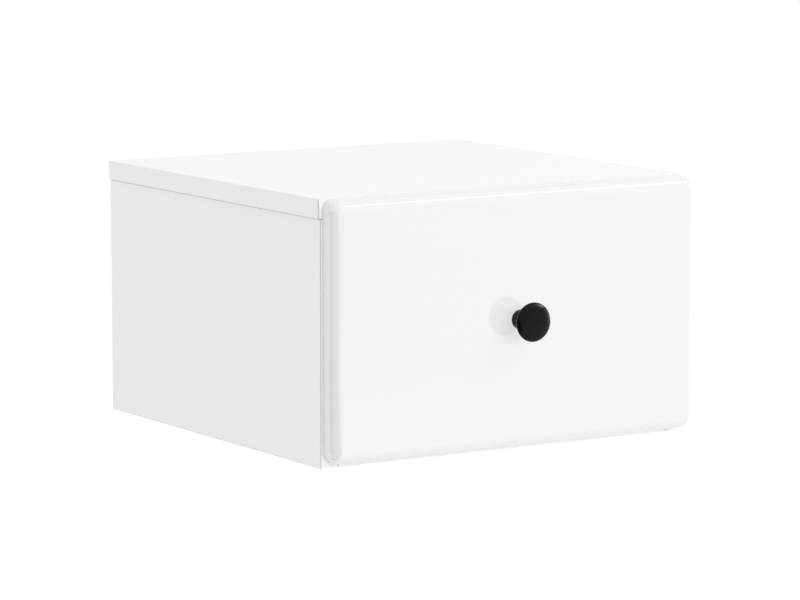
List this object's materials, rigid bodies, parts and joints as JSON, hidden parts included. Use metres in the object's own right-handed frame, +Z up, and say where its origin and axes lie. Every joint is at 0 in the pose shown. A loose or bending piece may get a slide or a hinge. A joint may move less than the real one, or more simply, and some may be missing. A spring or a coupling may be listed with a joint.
{
  "type": "floating nightstand",
  "caption": "Floating nightstand: a shallow wall-hung box whose full-width drawer runs on steel roller runners and opens by a round mushroom knob.",
  "frame": {"origin": "on the wall face at the back, midway between the two wall screw holes", "axes": "+Y points into the wall, so the drawer opens along -Y; +Z is up; +X is to the right of someone facing the drawer"},
  "size_m": [0.4, 0.441, 0.242],
  "materials": {
    "white_board": "white satin lacquered board",
    "gloss_white_front": "white semi-gloss lacquered board with soft rounded edges",
    "white_hardboard": "white-faced thin hardboard",
    "white_enamelled_steel": "white epoxy enamel on folded sheet steel",
    "nylon": "natural nylon",
    "steel_fasteners": "bright zinc-plated steel",
    "zinc_cams": "dull die-cast zinc",
    "black_knob": "black satin lacquer"
  },
  "bodies": {
    "carcass": {"top_panel": "white_board", "bottom_panel": "white_board", "side_panel_left": "white_board", "side_panel_right": "white_board", "back_panel": "white_hardboard", "hanging_rail": "white_board", "top_left_front_cam_bolt": "steel_fasteners", "top_left_front_cam": "zinc_cams", "bottom_left_front_cam_bolt": "steel_fasteners", "bottom_left_front_cam": "zinc_cams", "top_left_rear_cam_bolt": "steel_fasteners", "top_left_rear_cam": "zinc_cams", "bottom_left_rear_cam_bolt": "steel_fasteners", "bottom_left_rear_cam": "zinc_cams", "rail_left_cam_bolt": "steel_fasteners", "rail_left_cam": "zinc_cams", "top_right_front_cam_bolt": "steel_fasteners", "top_right_front_cam": "zinc_cams", "bottom_right_front_cam_bolt": "steel_fasteners", "bottom_right_front_cam": "zinc_cams", "top_right_rear_cam_bolt": "steel_fasteners", "top_right_rear_cam": "zinc_cams", "bottom_right_rear_cam_bolt": "steel_fasteners", "bottom_right_rear_cam": "zinc_cams", "rail_right_cam_bolt": "steel_fasteners", "rail_right_cam": "zinc_cams", "cabinet_runner_left": "white_enamelled_steel", "cabinet_runner_right": "white_enamelled_steel", "cabinet_roller_axle_left": "steel_fasteners", "cabinet_roller_axle_right": "steel_fasteners", "cabinet_runner_screw_left_front": "steel_fasteners", "cabinet_runner_screw_left_rear": "steel_fasteners", "cabinet_runner_screw_right_front": "steel_fasteners", "cabinet_runner_screw_right_rear": "steel_fasteners"},
    "drawer": {"drawer_front": "gloss_white_front", "drawer_side_left": "white_board", "drawer_side_right": "white_board", "drawer_back": "white_board", "drawer_bottom": "white_hardboard", "front_left_cam_bolt": "steel_fasteners", "front_left_cam": "zinc_cams", "front_right_cam_bolt": "steel_fasteners", "front_right_cam": "zinc_cams", "drawer_back_screw_left_lower": "steel_fasteners", "drawer_back_screw_left_upper": "steel_fasteners", "drawer_back_screw_right_lower": "steel_fasteners", "drawer_back_screw_right_upper": "steel_fasteners", "knob": "black_knob", "knob_screw": "steel_fasteners", "drawer_runner_left": "white_enamelled_steel", "drawer_runner_right": "white_enamelled_steel", "drawer_roller_axle_left": "steel_fasteners", "drawer_roller_axle_right": "steel_fasteners", "drawer_runner_screw_left": "steel_fasteners", "drawer_runner_screw_right": "steel_fasteners"},
    "cabinet_roller_left": {"cabinet_roller_left": "nylon"},
    "cabinet_roller_right": {"cabinet_roller_right": "nylon"},
    "drawer_roller_left": {"drawer_roller_left": "nylon"},
    "drawer_roller_right": {"drawer_roller_right": "nylon"}
  },
  "joints": [
    {"name": "drawer_slide", "type": "slide", "parent": "carcass", "child": "drawer", "axis": [0, -1, 0], "range_m": [0, 0.265]},
    {"name": "cabinet_roller_left_spin", "type": "hinge", "parent": "carcass", "child": "cabinet_roller_left", "pos_m": [-0.1735, -0.376, -0.1442], "axis": [1, 0, 0], "range_deg": [0, 1520]},
    {"name": "cabinet_roller_right_spin", "type": "hinge", "parent": "carcass", "child": "cabinet_roller_right", "pos_m": [0.1735, -0.376, -0.1442], "axis": [1, 0, 0], "range_deg": [0, 1520]},
    {"name": "drawer_roller_left_spin", "type": "hinge", "parent": "drawer", "child": "drawer_roller_left", "pos_m": [-0.1735, -0.056, -0.1446], "axis": [1, 0, 0], "range_deg": [0, 1520]},
    {"name": "drawer_roller_right_spin", "type": "hinge", "parent": "drawer", "child": "drawer_roller_right", "pos_m": [0.1735, -0.056, -0.1446], "axis": [1, 0, 0], "range_deg": [0, 1520]}
  ],
  "couplings": [
    {"joint": "cabinet_roller_left_spin", "follows": "drawer_slide", "rad_per_m": 100},
    {"joint": "cabinet_roller_right_spin", "follows": "drawer_slide", "rad_per_m": 100},
    {"joint": "drawer_roller_left_spin", "follows": "drawer_slide", "rad_per_m": 100},
    {"joint": "drawer_roller_right_spin", "follows": "drawer_slide", "rad_per_m": 100}
  ]
}
